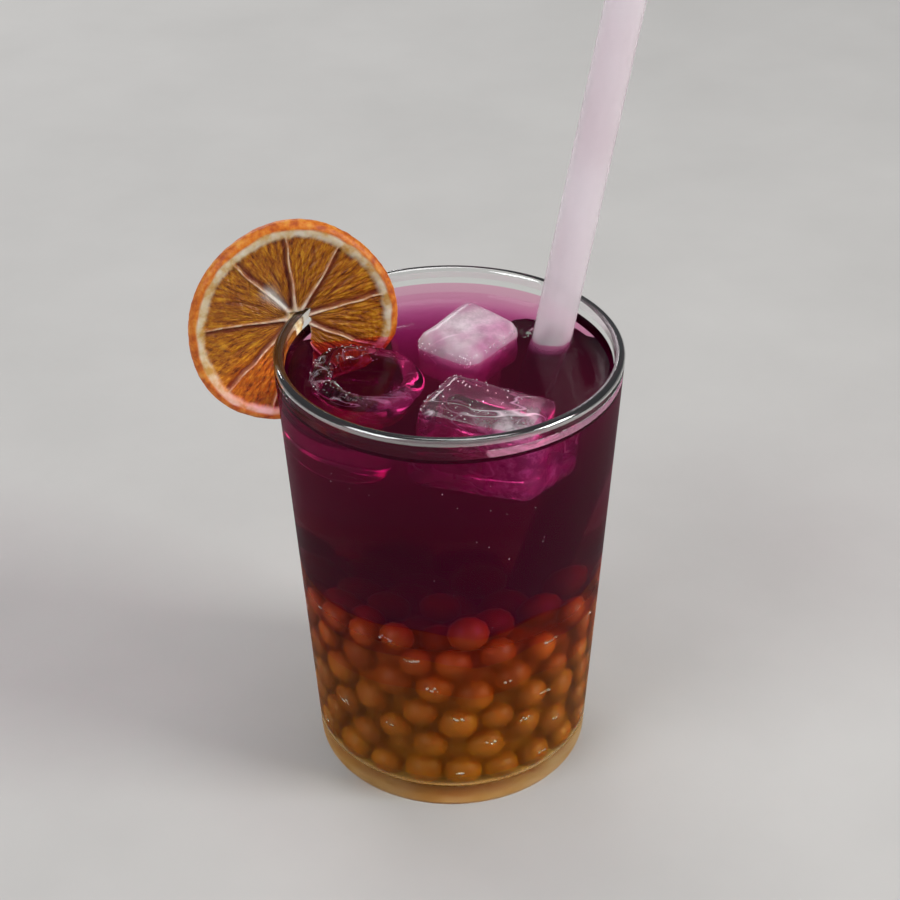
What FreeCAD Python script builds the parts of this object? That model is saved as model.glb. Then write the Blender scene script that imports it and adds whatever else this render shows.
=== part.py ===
import FreeCAD, Part
import Sketcher
import math
import os

# Bubble tea in a plain tapered glass: a glass, its pearls, the drink, three pieces of ice,
# a wide straw that leans on the rim and a dried orange slice that rides on the rim.
# Millimetres. The origin is the middle of the glass's underside, +Z is up, and the side
# with the front ice faces -Y.

SIZES = [
    # glass
    ("glass_height", 119.0, "underside to rim"),
    ("rim_radius", 43.0, "outside, at the rim"),
    ("foot_radius", 35.4, "outside, where the tapered side would meet the table"),
    ("glass_wall", 2.5, "thickness of the side, measured level"),
    ("base_thickness", 6.0, "thick pressed base"),
    ("heel_radius", 4.0, "outer rounding from side to underside"),
    ("bowl_corner_radius", 5.0, "inner rounding from side to floor"),
    # drink and pearls
    ("headspace", 9.0, "rim down to the drink"),
    ("bed_height", 47.0, "floor of the glass up to the middles of the top pearls"),
    ("pearl_diameter", 9.4, "tapioca pearl"),
    ("pearl_gap", 0.5, "least gap from a top pearl to the side or the straw"),
    ("pearl_unevenness", 2.2, "how far the top pearls lie above or below each other"),
    # straw
    ("straw_radius", 5.0, "outside"),
    ("straw_wall", 1.2, "thickness of the tube"),
    ("straw_length", 212.0, "end to end"),
    ("straw_tilt", 18.1, "degrees from upright"),
    ("straw_heading", 49.7, "degrees from +X, the way the straw leans"),
    ("straw_rest_azimuth", 36.8, "degrees from +X, where it leans on the rim"),
    ("seat_gap", 0.3, "clearance between pieces that rest on each other"),
    # dried orange slice
    ("slice_radius", 26.6, "mean radius of the rind"),
    ("slice_thickness", 4.2, "rind to rind"),
    ("slice_edge_radius", 1.3, "rounding of the rind"),
    ("rind_width", 4.4, "rind and pith outside the segments"),
    ("pith_radius", 3.4, "solid middle"),
    ("membrane_width", 1.1, "wall between two segments"),
    ("pulp_sink", 0.9, "how far dried pulp lies below the rind on each face"),
    ("slice_azimuth", 155.2, "degrees from +X, where the slice rides on the rim"),
    ("slice_stand_out", 0.3, "middle of the slice outside the rim's outside"),
    ("slice_drop", 3.2, "rim down to the middle of the slice"),
    ("slice_turn", 13.5, "degrees from +X, the way the slice's face is turned"),
    ("slice_lean", 8.0, "degrees that its top leans back"),
    ("slit_depth", 35.1, "down into the slice from the top of the rim"),
    ("pith_side", 0.9, "pith off the middle, sideways"),
    ("pith_rise", 1.5, "pith off the middle, upwards"),
    # ice; a turn is degrees from +X, a tip is degrees about the piece's own X or Y
    ("back_ice_length", 23.0, "along the straw"),
    ("back_ice_width", 19.0, "away from the straw"),
    ("back_ice_depth", 23.0, "upright edge"),
    ("back_ice_rounding", 4.5, "melted edges"),
    ("back_ice_show", 4.6, "middle of its top above the drink"),
    ("back_ice_gap", 1.2, "clearance to the straw"),
    ("back_ice_slide", -8.6, "its middle from the straw's axis, along its length"),
    ("back_ice_turn", 52.0, "the way its length points"),
    ("back_ice_tip_x", 5.0, "tip about its own length"),
    ("back_ice_tip_y", -3.0, "tip about its own width"),
    ("front_ice_length", 30.0, "along the near side"),
    ("front_ice_width", 21.0, "towards the middle"),
    ("front_ice_depth", 18.0, "upright edge"),
    ("front_ice_rounding", 3.6, "melted edges"),
    ("front_ice_show", 1.4, "middle of its top above the drink"),
    ("front_ice_offset", 16.0, "middle of its top from the glass's axis"),
    ("front_ice_azimuth", -54.0, "degrees from +X, where it lies"),
    ("front_ice_turn", -24.5, "the way its length points"),
    ("front_ice_tip_x", -3.0, "tip about its own length"),
    ("front_ice_tip_y", 3.0, "tip about its own width"),
    ("round_ice_top_radius", 14.5, "wide end of the thimble of ice"),
    ("round_ice_low_radius", 12.6, "narrow end"),
    ("round_ice_depth", 19.0, "end to end"),
    ("round_ice_hollow_radius", 8.6, "dimple in the wide end"),
    ("round_ice_hollow_floor", 5.3, "radius of the dimple's floor"),
    ("round_ice_hollow_depth", 11.0, "depth of the dimple"),
    ("round_ice_rounding", 2.6, "melted edges"),
    ("round_ice_wall_gap", 4.6, "clearance to the side of the glass, at the drink's level"),
    ("round_ice_azimuth", 174.0, "degrees from +X, where it lies"),
    ("round_ice_turn", 20.0, "the way it is turned before it tips"),
    ("round_ice_tip_x", 5.0, "tip about its own length"),
    ("round_ice_tip_y", 9.0, "tip about its own width"),
]

doc = FreeCAD.newDocument("BubbleTea")
sheet = doc.addObject("Spreadsheet::Sheet", "Sizes")
for row, (alias, value, note) in enumerate(SIZES, start=1):
    sheet.set("A%d" % row, alias)
    sheet.set("B%d" % row, str(value))
    sheet.set("C%d" % row, note)
    sheet.setAlias("B%d" % row, alias)
doc.recompute()


def size(alias):
    """A driving dimension, read back from the sheet."""
    return float(getattr(sheet, alias))


def bind(obj, **expressions):
    """Tie properties of a primitive to cells of the sheet."""
    for name, text in expressions.items():
        obj.setExpression(name, text)
    return obj


def turn_of(prefix):
    """The turn and the two tips that the sheet holds for a piece of ice."""
    return rotation(size(prefix + "_turn"), size(prefix + "_tip_x"), size(prefix + "_tip_y"))


def rotation(yaw, about_x=0.0, about_y=0.0):
    """Tilt about the piece's own Y, then its X, then turn it about the upright."""
    turn = FreeCAD.Rotation(FreeCAD.Vector(0, 0, 1), yaw)
    lean = FreeCAD.Rotation(FreeCAD.Vector(1, 0, 0), about_x)
    roll = FreeCAD.Rotation(FreeCAD.Vector(0, 1, 0), about_y)
    return turn.multiply(lean).multiply(roll)


def polar(radius, azimuth, height):
    """A point by its distance and direction from the upright axis, and its height."""
    angle = math.radians(azimuth)
    return FreeCAD.Vector(radius * math.cos(angle), radius * math.sin(angle), height)


def operation(kind, name, base=None, tool=None, shapes=None):
    """A boolean object: Part::Cut and Part::Common take a base and a tool."""
    obj = doc.addObject(kind, name)
    if shapes is None:
        obj.Base = base
        obj.Tool = tool
    else:
        obj.Shapes = shapes
    return obj


# ---- glass -------------------------------------------------------------------------------

FLARE = "(Sizes.rim_radius - Sizes.foot_radius) / Sizes.glass_height"   # outwards per mm of height


def side_slope():
    return (size("rim_radius") - size("foot_radius")) / size("glass_height")


def outer_radius(height):
    """Outside of the tapered side at a height."""
    return size("foot_radius") + side_slope() * height


def inner_radius(height):
    return outer_radius(height) - size("glass_wall")


def ring_edges(shape, wanted):
    """Names of the full circles of a turned solid whose (radius, height) is wanted."""
    names = []
    for number, edge in enumerate(shape.Edges, start=1):
        if not isinstance(edge.Curve, Part.Circle):
            continue
        found = (edge.Curve.Radius, edge.Curve.Center.z)
        if any(math.dist(found, pair) < 0.01 for pair in wanted):
            names.append("Edge%d" % number)
    return names


def add_glass():
    """Half profile turned about the upright axis, then the heel, bowl corner and rim rounded."""
    body = doc.addObject("PartDesign::Body", "GlassBody")
    body.Label = "glass"
    sketch = body.newObject("Sketcher::SketchObject", "GlassProfile")
    plane = [part for part in body.Origin.OriginFeatures if part.Role == "XZ_Plane"][0]
    sketch.AttachmentSupport = [(plane, "")]
    sketch.MapMode = "FlatFace"
    top, floor = size("glass_height"), size("base_thickness")
    corners = [(0, 0), (outer_radius(0), 0), (outer_radius(top), top),
               (inner_radius(top), top), (inner_radius(floor), floor), (0, floor)]
    points = [FreeCAD.Vector(across, up, 0) for across, up in corners]
    count = len(points)
    for index in range(count):
        sketch.addGeometry(Part.LineSegment(points[index], points[(index + 1) % count]), False)
    for index in range(count):
        sketch.addConstraint(Sketcher.Constraint("Coincident", index, 2, (index + 1) % count, 1))
    sketch.addConstraint(Sketcher.Constraint("Coincident", 0, 1, -1, 1))
    sketch.addConstraint(Sketcher.Constraint("Horizontal", 0))
    sketch.addConstraint(Sketcher.Constraint("Horizontal", 2))
    sketch.addConstraint(Sketcher.Constraint("Horizontal", 4))
    sketch.addConstraint(Sketcher.Constraint("Vertical", 5))
    driven = [
        ("DistanceX", 0, 2, outer_radius(0), "Sizes.foot_radius"),
        ("DistanceX", 1, 2, outer_radius(top), "Sizes.rim_radius"),
        ("DistanceY", 1, 2, top, "Sizes.glass_height"),
        ("DistanceX", 3, 1, inner_radius(top), "Sizes.rim_radius - Sizes.glass_wall"),
        ("DistanceX", 4, 1, inner_radius(floor),
         "Sizes.foot_radius - Sizes.glass_wall + Sizes.base_thickness * " + FLARE),
        ("DistanceY", 4, 1, floor, "Sizes.base_thickness"),
    ]
    for kind, line, end, value, expression in driven:
        number = sketch.addConstraint(Sketcher.Constraint(kind, -1, 1, line, end, value))
        sketch.setExpression("Constraints[%d]" % number, "(%s) * 1 mm" % expression)
    turned = body.newObject("PartDesign::Revolution", "GlassTurned")
    turned.Profile = sketch
    turned.ReferenceAxis = (sketch, ["V_Axis"])
    turned.Angle = 360
    doc.recompute()
    rounded = turned
    steps = [
        ("Heel", [(outer_radius(0), 0)], "Sizes.heel_radius"),
        ("BowlCorner", [(inner_radius(floor), floor)], "Sizes.bowl_corner_radius"),
        ("RimRounding", [(outer_radius(top), top), (inner_radius(top), top)],
         "Sizes.glass_wall * 0.49"),
    ]
    for name, rings, expression in steps:
        fillet = body.newObject("PartDesign::Fillet", name)
        fillet.Base = (rounded, ring_edges(rounded.Shape, rings))
        fillet.setExpression("Radius", expression)
        doc.recompute()
        rounded = fillet
    body.Tip = rounded
    return body


def add_cavity():
    """The bowl of the glass up to the drink's level, with the bowl's rounded corner."""
    floor = size("base_thickness")
    cone = doc.addObject("Part::Cone", "BowlCone")
    side = "Sizes.foot_radius - Sizes.glass_wall + "
    bind(cone,
         Radius1=side + "Sizes.base_thickness * " + FLARE,
         Radius2=side + "(Sizes.glass_height - Sizes.headspace) * " + FLARE,
         Height="Sizes.glass_height - Sizes.headspace - Sizes.base_thickness")
    cone.Placement.Base = FreeCAD.Vector(0, 0, floor)
    doc.recompute()
    cavity = doc.addObject("Part::Fillet", "Bowl")
    cavity.Base = cone
    rings = ring_edges(cone.Shape, [(inner_radius(floor), floor)])
    radius = size("bowl_corner_radius")
    cavity.Edges = [(int(name[4:]), radius, radius) for name in rings]
    return cavity


# ---- straw -------------------------------------------------------------------------------

def straw_line():
    """Foot of the straw's axis and its unit direction: leaning on the rim, standing on the floor."""
    tilt = math.radians(size("straw_tilt"))
    direction = polar(math.sin(tilt), size("straw_heading"), math.cos(tilt))
    rest = inner_radius(size("glass_height")) - level_straw_radius() - size("seat_gap")
    lean_point = polar(rest, size("straw_rest_azimuth"), size("glass_height"))
    foot_height = size("base_thickness") + size("seat_gap") + size("straw_radius") * math.sin(tilt)
    back = (lean_point.z - foot_height) / direction.z
    return lean_point - direction * back, direction


def straw_axis_at(height):
    foot, direction = straw_line()
    return foot + direction * ((height - foot.z) / direction.z)


def level_straw_radius():
    """Half the straw's width where a level plane cuts it."""
    return size("straw_radius") / math.cos(math.radians(size("straw_tilt")))


def add_straw_parts():
    """The tube, and the plain rods of its outside and its bore, which cut what lies round it."""
    foot, direction = straw_line()
    place = FreeCAD.Placement(foot, FreeCAD.Rotation(FreeCAD.Vector(0, 0, 1), direction))
    outside = doc.addObject("Part::Cylinder", "StrawOutside")
    bore = doc.addObject("Part::Cylinder", "StrawBore")
    bind(outside, Radius="Sizes.straw_radius", Height="Sizes.straw_length")
    bind(bore, Radius="Sizes.straw_radius - Sizes.straw_wall", Height="Sizes.straw_length")
    outside.Placement = place
    bore.Placement = place
    tube = operation("Part::Cut", "StrawTube", outside, bore)
    tube.Label = "straw"
    return tube, outside, bore


# ---- dried orange slice ------------------------------------------------------------------

SEGMENT_WALLS = [10, 55, 92, 133, 180, 222, 252, 292, 330]   # degrees, uneven as fruit is
OUTLINE_WAVES = [(2, 0.017, 40), (3, 0.012, 100), (5, 0.006, 10)]   # count, share, degrees


def slice_outline(azimuth):
    """Radius of the dried, slightly warped rind in a direction, from the slice's middle."""
    waves = sum(share * math.cos(math.radians(count * (azimuth - shift)))
                for count, share, shift in OUTLINE_WAVES)
    return size("slice_radius") * (1 + waves)


def rind_disc():
    """The whole round of fruit, in its own frame, with softly rounded edges."""
    step = 10
    points = [polar(slice_outline(azimuth), azimuth, 0) for azimuth in range(0, 360, step)]
    curve = Part.BSplineCurve()
    curve.interpolate(points, PeriodicFlag=True)
    face = Part.Face(Part.Wire([curve.toShape()]))
    disc = face.extrude(FreeCAD.Vector(0, 0, size("slice_thickness")))
    disc.translate(FreeCAD.Vector(0, 0, -size("slice_thickness") / 2))
    rims = [edge for edge in disc.Edges if abs(edge.CenterOfMass.z) > size("slice_thickness") * 0.4]
    radius = min(size("slice_edge_radius"), size("slice_thickness") * 0.45)
    return disc.makeFillet(radius, rims)


def segment_plug(first, second):
    """The pulp's outline between two membranes: a wedge with rounded corners, sink deep."""
    pith = FreeCAD.Vector(size("pith_side"), size("pith_rise"), 0)
    half = size("membrane_width") / 2

    def along(azimuth, side, reach):
        across = polar(half, azimuth + side * 90, 0)
        return pith + across + polar(reach, azimuth, 0)

    def reach(azimuth):
        towards = polar(1, azimuth, 0)
        return slice_outline(azimuth) - size("rind_width") - pith.dot(towards)

    middle = (first + second) / 2
    near_first = along(first, 1, size("pith_radius"))
    near_second = along(second, -1, size("pith_radius"))
    far_first = along(first, 1, reach(first))
    far_second = along(second, -1, reach(second))
    far_middle = pith + polar(reach(middle), middle, 0)
    outline = Part.Wire([
        Part.LineSegment(near_first, far_first).toShape(),
        Part.Arc(far_first, far_middle, far_second).toShape(),
        Part.LineSegment(far_second, near_second).toShape(),
        Part.LineSegment(near_second, near_first).toShape(),
    ])
    plug = Part.Face(outline).extrude(FreeCAD.Vector(0, 0, size("pulp_sink")))
    corners = [edge for edge in plug.Edges
               if isinstance(edge.Curve, Part.Line) and abs(edge.tangentAt(edge.FirstParameter).z) > 0.9
               and (edge.CenterOfMass - pith).Length > size("pith_radius") * 1.5]
    return plug.makeFillet(size("membrane_width"), corners)


def slice_shape():
    """Rind disc with every segment sunk on both faces."""
    disc = rind_disc()
    half = size("slice_thickness") / 2
    walls = SEGMENT_WALLS + [SEGMENT_WALLS[0] + 360]
    plugs = []
    for first, second in zip(walls, walls[1:]):
        for height in (half - size("pulp_sink"), -half):
            plug = segment_plug(first, second)
            plug.translate(FreeCAD.Vector(0, 0, height))
            plugs.append(plug)
    return disc.cut(plugs)


def slit_box(placement):
    """What the side of the glass needs in the slice, in the slice's own frame: it follows the
    tapered side, a seat gap clear of it, with room for the side's curve."""
    gap = size("seat_gap")
    reach = size("slice_thickness") + size("slice_radius") * math.sin(math.radians(size("slice_lean")))
    bow = reach ** 2 / (2 * inner_radius(size("glass_height")))
    width = size("glass_wall") + 2 * gap + bow
    length = 10 * size("slice_thickness")
    depth = size("slit_depth")
    slit = Part.makeBox(width, length, depth, FreeCAD.Vector(-width, -length / 2, -depth))
    mouth = polar(size("rim_radius") + gap, size("slice_azimuth"), size("glass_height") + gap)
    taper = math.degrees(math.atan(side_slope()))
    in_glass = FreeCAD.Placement(mouth, rotation(size("slice_azimuth"), 0, taper))
    slit.Placement = placement.inverse().multiply(in_glass)
    return slit


def add_slice():
    """The slice on the rim, with the slit that the side of the glass stands in."""
    middle = polar(size("rim_radius") + size("slice_stand_out"), size("slice_azimuth"),
                   size("glass_height") - size("slice_drop"))
    placement = FreeCAD.Placement(middle, rotation(size("slice_turn"), 90 - size("slice_lean")))
    fruit = doc.addObject("Part::Feature", "OrangeSlice")
    fruit.Shape = slice_shape().cut(slit_box(placement))
    fruit.Placement = placement
    fruit.Label = "orange_slice"
    return fruit


# ---- ice ---------------------------------------------------------------------------------

def drink_level():
    return size("glass_height") - size("headspace")


def add_block(name, label, prefix, middle):
    """A melted cube: a box with every edge rounded, placed by the middle of its top."""
    turn = turn_of(prefix)
    box = doc.addObject("Part::Box", name + "Box")
    bind(box, Length="Sizes.%s_length" % prefix, Width="Sizes.%s_width" % prefix,
         Height="Sizes.%s_depth" % prefix)
    corner = FreeCAD.Vector(size(prefix + "_length") / 2, size(prefix + "_width") / 2,
                            size(prefix + "_depth"))
    box.Placement = FreeCAD.Placement(middle - turn.multVec(corner), turn)
    doc.recompute()
    block = doc.addObject("Part::Fillet", name)
    block.Base = box
    radius = size(prefix + "_rounding")
    block.Edges = [(number, radius, radius) for number in range(1, len(box.Shape.Edges) + 1)]
    block.Label = label
    return block


def add_back_ice():
    """Lies along the straw, a named gap away from it, and stands well out of the drink."""
    yaw = size("back_ice_turn")
    away = size("back_ice_width") / 2 + level_straw_radius() + size("back_ice_gap")
    beside = straw_axis_at(drink_level() - size("back_ice_depth") * 0.6)
    middle = beside + polar(size("back_ice_slide"), yaw, 0) + polar(away, yaw + 90, 0)
    middle.z = drink_level() + size("back_ice_show")
    return add_block("BackIce", "ice_back", "back_ice", middle)


def add_front_ice():
    """A clear flat block that only just breaks the surface at the near side."""
    middle = polar(size("front_ice_offset"), size("front_ice_azimuth"),
                   drink_level() + size("front_ice_show"))
    return add_block("FrontIce", "ice_front", "front_ice", middle)


def add_round_ice():
    """A thimble of ice with a dimple in its wide upper end, at the left side."""
    outside = doc.addObject("Part::Cone", "RoundIceOutside")
    hollow = doc.addObject("Part::Cone", "RoundIceHollow")
    bind(outside, Radius1="Sizes.round_ice_low_radius", Radius2="Sizes.round_ice_top_radius",
         Height="Sizes.round_ice_depth")
    bind(hollow, Radius1="Sizes.round_ice_hollow_floor",
         Radius2="Sizes.round_ice_hollow_radius", Height="Sizes.round_ice_hollow_depth")
    turn = turn_of("round_ice")
    away = inner_radius(drink_level()) - size("round_ice_wall_gap") - size("round_ice_top_radius")
    top = polar(away, size("round_ice_azimuth"), drink_level())
    axis = turn.multVec(FreeCAD.Vector(0, 0, 1))
    outside.Placement = FreeCAD.Placement(top - axis * size("round_ice_depth"), turn)
    hollow.Placement = FreeCAD.Placement(top - axis * size("round_ice_hollow_depth"), turn)
    dimpled = operation("Part::Cut", "RoundIceCut", outside, hollow)
    doc.recompute()
    ice = doc.addObject("Part::Fillet", "RoundIce")
    ice.Base = dimpled
    radius = size("round_ice_rounding")
    ice.Edges = [(number, radius, radius) for number, edge in enumerate(dimpled.Shape.Edges, start=1)
                 if isinstance(edge.Curve, Part.Circle)]
    ice.Label = "ice_round"
    return ice


# ---- pearls and drink --------------------------------------------------------------------

def top_pearl_centres():
    """Rings of pearls on top of the bed, uneven in height, clear of the side and the straw."""
    radius = size("pearl_diameter") / 2
    middle_height = size("base_thickness") + size("bed_height")
    outermost = inner_radius(middle_height) - radius - size("pearl_gap")
    ring_count = int(outermost // size("pearl_diameter"))
    keep_off = radius + level_straw_radius() + size("pearl_gap")
    centres = []
    for ring in range(ring_count + 1):
        ring_radius = outermost * ring / ring_count
        in_ring = max(1, int(2 * math.pi * ring_radius // (size("pearl_diameter") * 1.07)))
        for number in range(in_ring):
            azimuth = 360 * number / in_ring + 17 * ring
            rise = size("pearl_unevenness") * math.sin(math.radians(azimuth * 3 + ring * 95))
            rise -= 0.5 * size("pearl_unevenness") * math.cos(math.radians(azimuth * 5 + 40 * ring))
            centre = polar(ring_radius, azimuth, middle_height + rise)
            straw = straw_axis_at(centre.z)
            if math.hypot(centre.x - straw.x, centre.y - straw.y) > keep_off:
                centres.append(centre)
    return centres


def add_pearl_bed(cavity, straw):
    """The heap of pearls out to its uneven top: a core with whole pearls standing out of it."""
    slab = doc.addObject("Part::Cylinder", "BedSlab")
    bind(slab, Radius="Sizes.rim_radius", Height="Sizes.bed_height + Sizes.base_thickness")
    core = operation("Part::Common", "BedCore", cavity, slab)
    pearls = []
    for centre in top_pearl_centres():
        pearl = bind(doc.addObject("Part::Sphere", "TopPearl"), Radius="Sizes.pearl_diameter / 2")
        pearl.Placement.Base = centre
        pearls.append(pearl)
    heap = operation("Part::MultiFuse", "Heap", shapes=[core] + pearls)
    bed = operation("Part::Cut", "PearlBed", heap, straw)
    bed.Label = "pearls"
    return bed, heap


def add_drink(cavity, heap, straw_outside, bore, sunk):
    """The drink fills the bowl round all that stands in it, and the straw to the same level."""
    inside = operation("Part::MultiFuse", "InTheDrink", shapes=[heap, straw_outside])
    open_drink = operation("Part::Cut", "DrinkRoundStraw", cavity, inside)
    for number, piece in enumerate(sunk, start=1):
        open_drink = operation("Part::Cut", "DrinkCut%d" % number, open_drink, piece)
    open_drink.Label = "tea"
    column = operation("Part::Common", "StrawFilling", cavity, bore)
    column = operation("Part::Cut", "TeaColumn", column, heap)
    column.Label = "tea_in_straw"
    return open_drink, column


glass = add_glass()
bowl = add_cavity()
straw, straw_rod, straw_bore = add_straw_parts()
orange_slice = add_slice()
ice = [add_back_ice(), add_front_ice(), add_round_ice()]
pearl_bed, pearl_heap = add_pearl_bed(bowl, straw)
tea, straw_tea = add_drink(bowl, pearl_heap, straw_rod, straw_bore, ice + [orange_slice])
doc.recompute()

nodes = [glass, pearl_bed, tea, straw_tea, straw, orange_slice] + ice
for obj in doc.Objects:
    if "Invalid" in obj.State or "Error" in obj.State:
        raise RuntimeError("%s failed: %s" % (obj.Name, obj.State))
os.makedirs("parts", exist_ok=True)
for node in nodes:
    shape = node.Shape
    if shape.isNull() or not shape.isValid() or len(shape.Solids) != 1:
        raise RuntimeError("%s is not one valid solid: %d" % (node.Label, len(shape.Solids)))
    shape.exportStep("parts/%s.step" % node.Label)
    box = shape.BoundBox
    print("%-14s %9.1f mm3  x %.1f..%.1f  y %.1f..%.1f  z %.1f..%.1f" % (
        node.Label, shape.Volume, box.XMin, box.XMax, box.YMin, box.YMax, box.ZMin, box.ZMax))
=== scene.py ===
import math

import bmesh
import bpy
import numpy as np
from mathutils import Matrix, Vector, noise


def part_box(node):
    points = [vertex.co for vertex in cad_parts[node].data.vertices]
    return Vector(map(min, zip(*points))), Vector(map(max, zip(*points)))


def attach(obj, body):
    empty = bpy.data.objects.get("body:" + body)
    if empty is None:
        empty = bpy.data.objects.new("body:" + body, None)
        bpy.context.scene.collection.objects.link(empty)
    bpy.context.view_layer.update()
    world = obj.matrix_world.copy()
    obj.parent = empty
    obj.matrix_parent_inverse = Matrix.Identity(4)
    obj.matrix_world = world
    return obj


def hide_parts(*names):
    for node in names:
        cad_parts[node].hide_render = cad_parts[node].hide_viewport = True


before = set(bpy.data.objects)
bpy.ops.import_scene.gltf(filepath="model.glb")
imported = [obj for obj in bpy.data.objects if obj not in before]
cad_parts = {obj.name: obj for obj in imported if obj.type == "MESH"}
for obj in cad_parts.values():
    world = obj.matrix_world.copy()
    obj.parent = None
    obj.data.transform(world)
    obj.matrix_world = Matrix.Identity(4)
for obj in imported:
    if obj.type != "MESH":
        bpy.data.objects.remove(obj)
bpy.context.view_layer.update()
scene = bpy.context.scene
scene.view_settings.view_transform = "Standard"
mm = 0.001
white = (1.0, 1.0, 1.0, 1.0)


# small helpers

def paint(red, green, blue):
    # a display colour, 0 to 255, as the linear colour that shaders take
    def linear(level):
        share = level / 255
        return share / 12.92 if share <= 0.04045 else ((share + 0.055) / 1.055) ** 2.4
    return (linear(red), linear(green), linear(blue), 1.0)


class Value:
    # a socket that adds its Math nodes when it is used in an expression
    def __init__(self, finish, socket):
        self.finish = finish
        self.socket = socket

    def __add__(self, other):
        return self.finish.maths("ADD", self, other)

    def __radd__(self, other):
        return self.finish.maths("ADD", other, self)

    def __sub__(self, other):
        return self.finish.maths("SUBTRACT", self, other)

    def __rsub__(self, other):
        return self.finish.maths("SUBTRACT", other, self)

    def __mul__(self, other):
        return self.finish.maths("MULTIPLY", self, other)

    def __rmul__(self, other):
        return self.finish.maths("MULTIPLY", other, self)


class Finish:
    # one material and the nodes that make it
    def __init__(self, name):
        self.material = bpy.data.materials.new(name)
        self.material.use_nodes = True
        self.tree = self.material.node_tree
        self.tree.nodes.clear()
        self.output = self.tree.nodes.new("ShaderNodeOutputMaterial")

    def node(self, kind, settings=None, inputs=None):
        made = self.tree.nodes.new("ShaderNode" + kind)
        for key, value in (settings or {}).items():
            if key == "stops":
                ramp = made.color_ramp
                while len(ramp.elements) < len(value):
                    ramp.elements.new(0.5)
                for element, (place, colour) in zip(ramp.elements, value):
                    element.position = place
                    element.color = colour
            else:
                setattr(made, key, value)
        for key, value in (inputs or {}).items():
            if isinstance(value, Value):
                self.tree.links.new(value.socket, made.inputs[key])
            else:
                made.inputs[key].default_value = value
        return made

    def take(self, kind, output, settings=None, inputs=None):
        return Value(self, self.node(kind, settings, inputs).outputs[output])

    def maths(self, operation, first, second):
        return self.take("Math", 0, {"operation": operation}, {0: first, 1: second})

    def place(self):
        return self.take("TexCoord", "Object")

    def height(self):
        return self.take("SeparateXYZ", "Z", None, {0: self.place()})

    def noise(self, scale, detail=3.0, roughness=0.55, place=None):
        return self.take("TexNoise", "Fac", None, {"Vector": place or self.place(), "Scale": scale,
                                                   "Detail": detail, "Roughness": roughness})

    def between(self, value, low, high, start=0.0, end=1.0):
        return self.take("MapRange", 0, None, {0: value, 1: low, 2: high, 3: start, 4: end})

    def ramp(self, value, stops):
        return self.take("ValToRGB", "Color", {"stops": stops}, {"Fac": value})

    def blend(self, share, first, second):
        return self.take("Mix", 2, {"data_type": "RGBA"}, {0: share, 6: first, 7: second})

    def mix(self, share, first, second):
        return self.take("MixShader", 0, None, {0: share, 1: first, 2: second})

    def bump(self, height, strength, distance):
        return self.take("Bump", "Normal", None,
                         {"Height": height, "Strength": strength, "Distance": distance})

    def principled(self, inputs):
        return self.take("BsdfPrincipled", 0, None, inputs)

    def surface(self, shader, lampsPass=None):
        # lampsPass lets lamp light through clear pieces, tinted with that colour
        if lampsPass is not None:
            clear = self.take("BsdfTransparent", 0, None, {"Color": lampsPass})
            shader = self.mix(self.take("LightPath", "Is Shadow Ray"), shader, clear)
        self.tree.links.new(shader.socket, self.output.inputs["Surface"])

    def clearGlass(self, colour, ior, shine):
        # clear glass or liquid, of whose reflection only the share "shine" is kept
        whole = self.principled({
            "Base Color": colour, "Roughness": 0.0, "IOR": ior, "Transmission Weight": 1.0})
        bare = self.take("BsdfRefraction", 0, None, {"Color": colour, "Roughness": 0.0, "IOR": ior})
        return self.mix(shine, bare, whole)

    def fill(self, colour, density, haze, hazeDensity):
        # what a liquid lets through and how its haze scatters light
        clear = self.take("VolumeAbsorption", 0, None, {"Color": colour, "Density": density})
        cloud = self.take("VolumeScatter", 0, None, {"Color": haze, "Density": hazeDensity})
        both = self.take("AddShader", 0, None, {0: clear, 1: cloud})
        self.tree.links.new(both.socket, self.output.inputs["Volume"])


def polar(reach, angle, height=0.0):
    return Vector((reach * math.cos(angle), reach * math.sin(angle), height))


def addObject(name, data):
    made = bpy.data.objects.new(name, data)
    scene.collection.objects.link(made)
    return made


def addSmooth(name, mesh):
    for face in mesh.polygons:
        face.use_smooth = True
    return addObject(name, mesh)


def meshFrom(build, name):
    mesh = bpy.data.meshes.new(name)
    build.to_mesh(mesh)
    build.free()
    return mesh


def pointOutwards(mesh, mergeWithin=None):
    # turns the faces outwards, once points that lie together are one
    build = bmesh.new()
    build.from_mesh(mesh)
    if mergeWithin is not None:
        bmesh.ops.remove_doubles(build, verts=build.verts, dist=mergeWithin)
    bmesh.ops.recalc_face_normals(build, faces=build.faces)
    build.to_mesh(mesh)
    build.free()


def meshPiece(name, vertices, faces, material):
    mesh = bpy.data.meshes.new(name)
    mesh.from_pydata([tuple(v) for v in vertices], [], faces)
    mesh.materials.append(material)
    pointOutwards(mesh)
    return addSmooth(name, mesh)


def neighbours(count):
    # each step round a ring, with the one after it
    return [(step, (step + 1) % count) for step in range(count)]


def turned(name, profile, segments, material, move=None):
    # a profile of (radius, height) turned about the upright, closed where the radius is nought
    rings, vertices = [], []
    for radius, height in profile:
        if radius < 1e-7:
            rings.append([len(vertices)])
            vertices.append((0.0, 0.0, height))
        else:
            rings.append(list(range(len(vertices), len(vertices) + segments)))
            vertices += [polar(radius, 2 * math.pi * step / segments, height) for step in range(segments)]
    faces = []
    for low, high in zip(rings, rings[1:]):
        for step, after in neighbours(segments):
            if len(low) == 1:
                faces.append((low[0], high[after], high[step]))
            elif len(high) == 1:
                faces.append((low[step], low[after], high[0]))
            else:
                faces.append((low[step], low[after], high[after], high[step]))
    if move is not None:
        vertices = [move(Vector(v)) for v in vertices]
    return meshPiece(name, vertices, faces, material)


def arc(centre, radius, start, end, steps):
    x, y = centre
    angles = [math.radians(start + (end - start) * step / steps) for step in range(steps + 1)]
    return [(x + radius * math.cos(angle), y + radius * math.sin(angle)) for angle in angles]


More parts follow.
